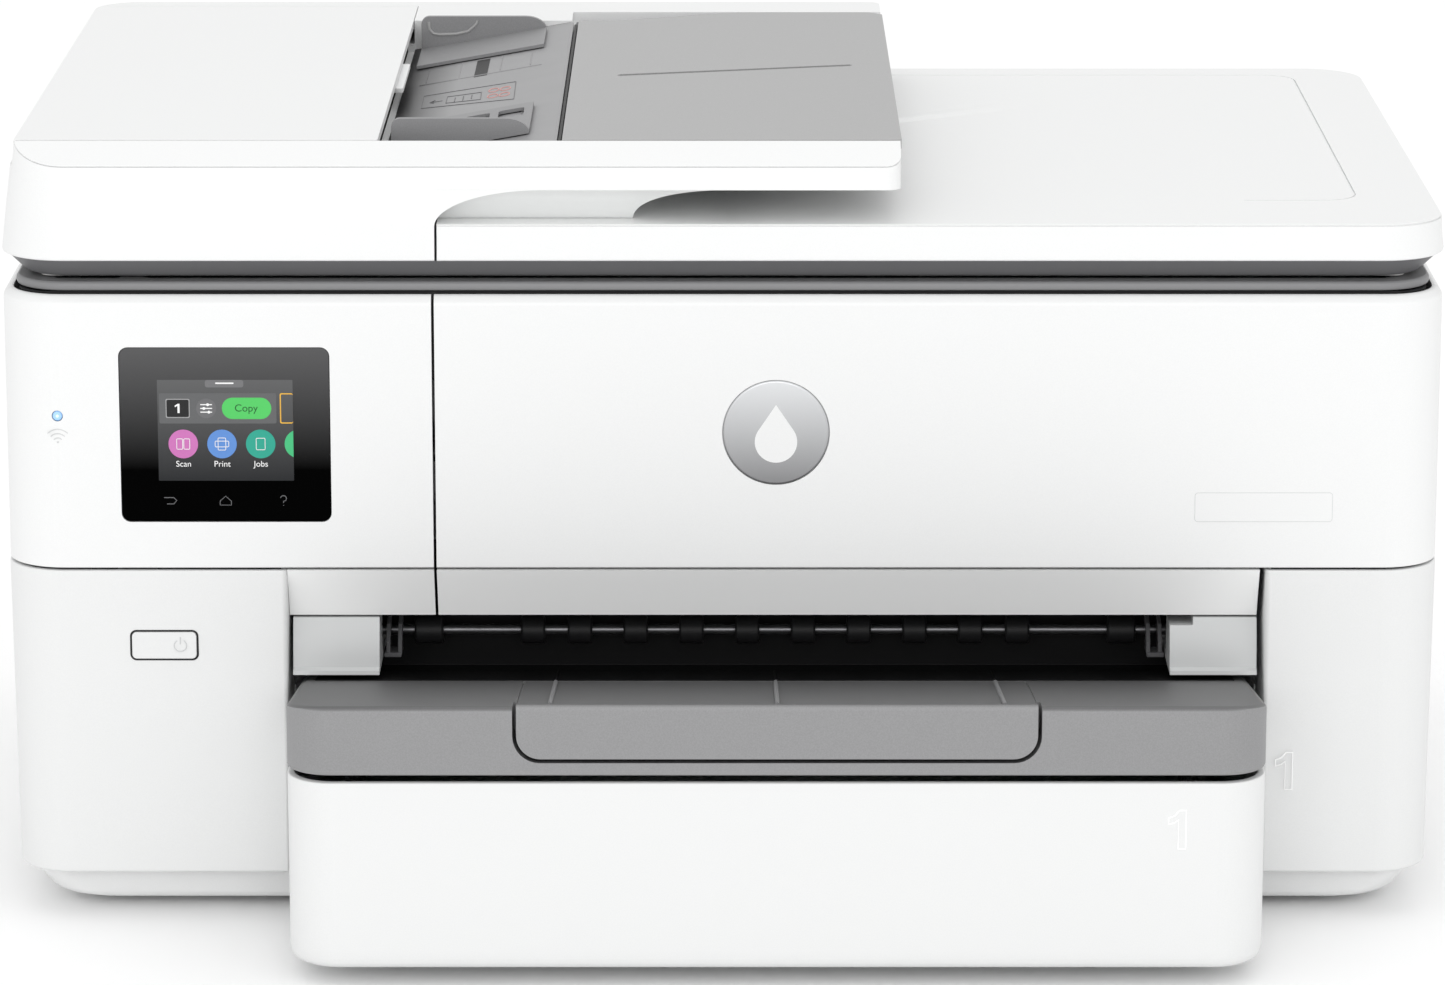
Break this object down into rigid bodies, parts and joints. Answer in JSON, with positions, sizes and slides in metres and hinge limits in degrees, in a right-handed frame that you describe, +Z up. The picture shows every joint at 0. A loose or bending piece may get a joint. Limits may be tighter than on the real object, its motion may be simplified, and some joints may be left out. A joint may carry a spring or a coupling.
{
  "type": "inkjet printer",
  "caption": "Wide inkjet printer with a scanner lid, sheet feeder, touch screen, drop-down ink door, output tray and paper cassette.",
  "frame": {"origin": "on the floor under the middle of the whole outline, trays included", "axes": "+X to the right of someone facing the front, +Y to the back, +Z up"},
  "size_m": [0.4894, 0.397, 0.272],
  "materials": {
    "white_plastic": "fine satin texture",
    "light_grey_plastic": "satin",
    "mid_grey_plastic": "fine satin texture",
    "dark_grey_plastic": "satin",
    "black_plastic": "gloss",
    "rubber": "matt",
    "glass": "clear",
    "steel": "brushed",
    "circuit_board": "satin",
    "white_foam": "matt",
    "light_pipe": "clear blue",
    "cyan_label": "satin",
    "magenta_label": "satin",
    "yellow_label": "satin"
  },
  "bodies": {
    "printer_body": {"base_pan": "light_grey_plastic", "canopy_lip": "light_grey_plastic", "carriage_belt": "black_plastic", "carriage_rod": "steel", "chassis": "steel", "data_ports": "dark_grey_plastic", "exit_block_left": "light_grey_plastic", "exit_block_right": "light_grey_plastic", "feeder_scan_glass": "glass", "foot_1": "rubber", "foot_2": "rubber", "foot_3": "rubber", "foot_4": "rubber", "lid_hinge_left": "dark_grey_plastic", "lid_hinge_right": "dark_grey_plastic", "lower_housing": "white_plastic", "main_board": "circuit_board", "output_tray": "mid_grey_plastic", "platen": "dark_grey_plastic", "power_inlet": "black_plastic", "power_supply": "steel", "scan_rod": "steel", "scanner_frame": "mid_grey_plastic", "scanner_glass": "glass", "scanner_tub": "dark_grey_plastic", "screen_bezel": "black_plastic", "service_station": "mid_grey_plastic", "status_light": "light_pipe", "touch_display": "black_plastic", "upper_housing": "white_plastic"},
    "lid": {"lid_shell": "white_plastic", "lid_underside": "mid_grey_plastic", "lid_mat": "white_foam", "feeder_base": "white_plastic"},
    "ink_door_body": {"ink_door": "white_plastic", "ink_door_lip": "light_grey_plastic", "badge": "steel", "nameplate": "light_grey_plastic"},
    "carriage": {"print_carriage": "dark_grey_plastic", "ink_cartridge_black": "black_plastic", "ink_cartridge_cyan": "cyan_label", "ink_cartridge_magenta": "magenta_label", "ink_cartridge_yellow": "yellow_label"},
    "cassette_body": {"cassette": "white_plastic"},
    "power_button_body": {"power_button": "light_grey_plastic"},
    "rear_door_body": {"rear_door": "light_grey_plastic"},
    "scan_bar_body": {"scan_bar": "black_plastic"},
    "feeder_cover_body": {"feeder_cover": "white_plastic"},
    "feeder_panel_body": {"feeder_panel": "mid_grey_plastic"},
    "feeder_guide_front_body": {"feeder_guide_front": "mid_grey_plastic"},
    "feeder_guide_rear_body": {"feeder_guide_rear": "mid_grey_plastic"},
    "feeder_pick_roller_body": {"feeder_pick_roller": "rubber"},
    "feeder_drive_roller_body": {"feeder_drive_roller": "rubber"},
    "tray_extension_body": {"tray_extension": "mid_grey_plastic"},
    "cassette_guide_left_body": {"cassette_guide_left": "light_grey_plastic"},
    "cassette_guide_right_body": {"cassette_guide_right": "light_grey_plastic"},
    "cassette_length_guide_body": {"cassette_length_guide": "light_grey_plastic"},
    "output_roller_body": {"output_roller": "mid_grey_plastic"},
    "feed_roller_body": {"feed_roller": "rubber"},
    "pick_roller_body": {"pick_roller": "rubber"}
  },
  "joints": [
    {"name": "lid_hinge", "type": "hinge", "parent": "printer_body", "child": "lid", "pos_m": [0, 0.1955, 0.2265], "axis": [-1, 0, 0], "range_deg": [0, 75]},
    {"name": "feeder_cover_hinge", "type": "hinge", "parent": "lid", "child": "feeder_cover_body", "pos_m": [-0.238, 0.0405, 0.262], "axis": [0, -1, 0], "range_deg": [0, 85]},
    {"name": "feeder_panel_hinge", "type": "hinge", "parent": "lid", "child": "feeder_panel_body", "pos_m": [-0.0543, 0.0315, 0.268], "axis": [0, -1, 0], "range_deg": [0, 70]},
    {"name": "feeder_guide_front_slide", "type": "slide", "parent": "lid", "child": "feeder_guide_front_body", "axis": [0, 1, 0], "range_m": [0, 0.06]},
    {"name": "feeder_guide_rear_slide", "type": "slide", "parent": "lid", "child": "feeder_guide_rear_body", "axis": [0, -1, 0], "range_m": [0, 0.06]},
    {"name": "feeder_drive_roller_spin", "type": "hinge", "parent": "lid", "child": "feeder_drive_roller_body", "pos_m": [-0.165, 0.0315, 0.2545], "axis": [0, 1, 0], "continuous": true},
    {"name": "feeder_pick_roller_spin", "type": "hinge", "parent": "lid", "child": "feeder_pick_roller_body", "pos_m": [-0.13, 0.0315, 0.2545], "axis": [0, 1, 0], "continuous": true},
    {"name": "ink_door_hinge", "type": "hinge", "parent": "printer_body", "child": "ink_door_body", "pos_m": [0, -0.1175, 0.1245], "axis": [1, 0, 0], "range_deg": [0, 80]},
    {"name": "rear_door_hinge", "type": "hinge", "parent": "printer_body", "child": "rear_door_body", "pos_m": [0, 0.1975, 0.1315], "axis": [-1, 0, 0], "range_deg": [0, 75]},
    {"name": "power_button_slide", "type": "slide", "parent": "printer_body", "child": "power_button_body", "axis": [0, 1, 0], "range_m": [0, 0.0012], "stiffness_N_per_m": 800},
    {"name": "scan_bar_slide", "type": "slide", "parent": "printer_body", "child": "scan_bar_body", "axis": [1, 0, 0], "range_m": [0, 0.44]},
    {"name": "print_carriage_slide", "type": "slide", "parent": "printer_body", "child": "carriage", "axis": [-1, 0, 0], "range_m": [0, 0.31]},
    {"name": "cassette_slide", "type": "slide", "parent": "printer_body", "child": "cassette_body", "axis": [0, -1, 0], "range_m": [0, 0.2]},
    {"name": "cassette_guide_left_slide", "type": "slide", "parent": "cassette_body", "child": "cassette_guide_left_body", "axis": [1, 0, 0], "range_m": [0, 0.09]},
    {"name": "cassette_guide_right_slide", "type": "slide", "parent": "cassette_body", "child": "cassette_guide_right_body", "axis": [-1, 0, 0], "range_m": [0, 0.09]},
    {"name": "cassette_length_guide_slide", "type": "slide", "parent": "cassette_body", "child": "cassette_length_guide_body", "axis": [0, 1, 0], "range_m": [0, 0.115]},
    {"name": "tray_extension_slide", "type": "slide", "parent": "printer_body", "child": "tray_extension_body", "axis": [0, -0.9868, 0.1617], "range_m": [0, 0.062]},
    {"name": "feed_roller_spin", "type": "hinge", "parent": "printer_body", "child": "feed_roller_body", "pos_m": [0, 0.0315, 0.0903], "axis": [1, 0, 0], "continuous": true},
    {"name": "output_roller_spin", "type": "hinge", "parent": "printer_body", "child": "output_roller_body", "pos_m": [0, -0.0735, 0.0903], "axis": [1, 0, 0], "continuous": true},
    {"name": "pick_roller_spin", "type": "hinge", "parent": "printer_body", "child": "pick_roller_body", "pos_m": [0, 0.1315, 0.0665], "axis": [1, 0, 0], "continuous": true}
  ],
  "couplings": [
    {"joint": "feeder_guide_rear_slide", "follows": "feeder_guide_front_slide", "ratio": 1},
    {"joint": "cassette_guide_right_slide", "follows": "cassette_guide_left_slide", "ratio": 1},
    {"joint": "output_roller_spin", "follows": "feed_roller_spin", "ratio": 1.16},
    {"joint": "feeder_pick_roller_spin", "follows": "feeder_drive_roller_spin", "ratio": 1.23}
  ]
}
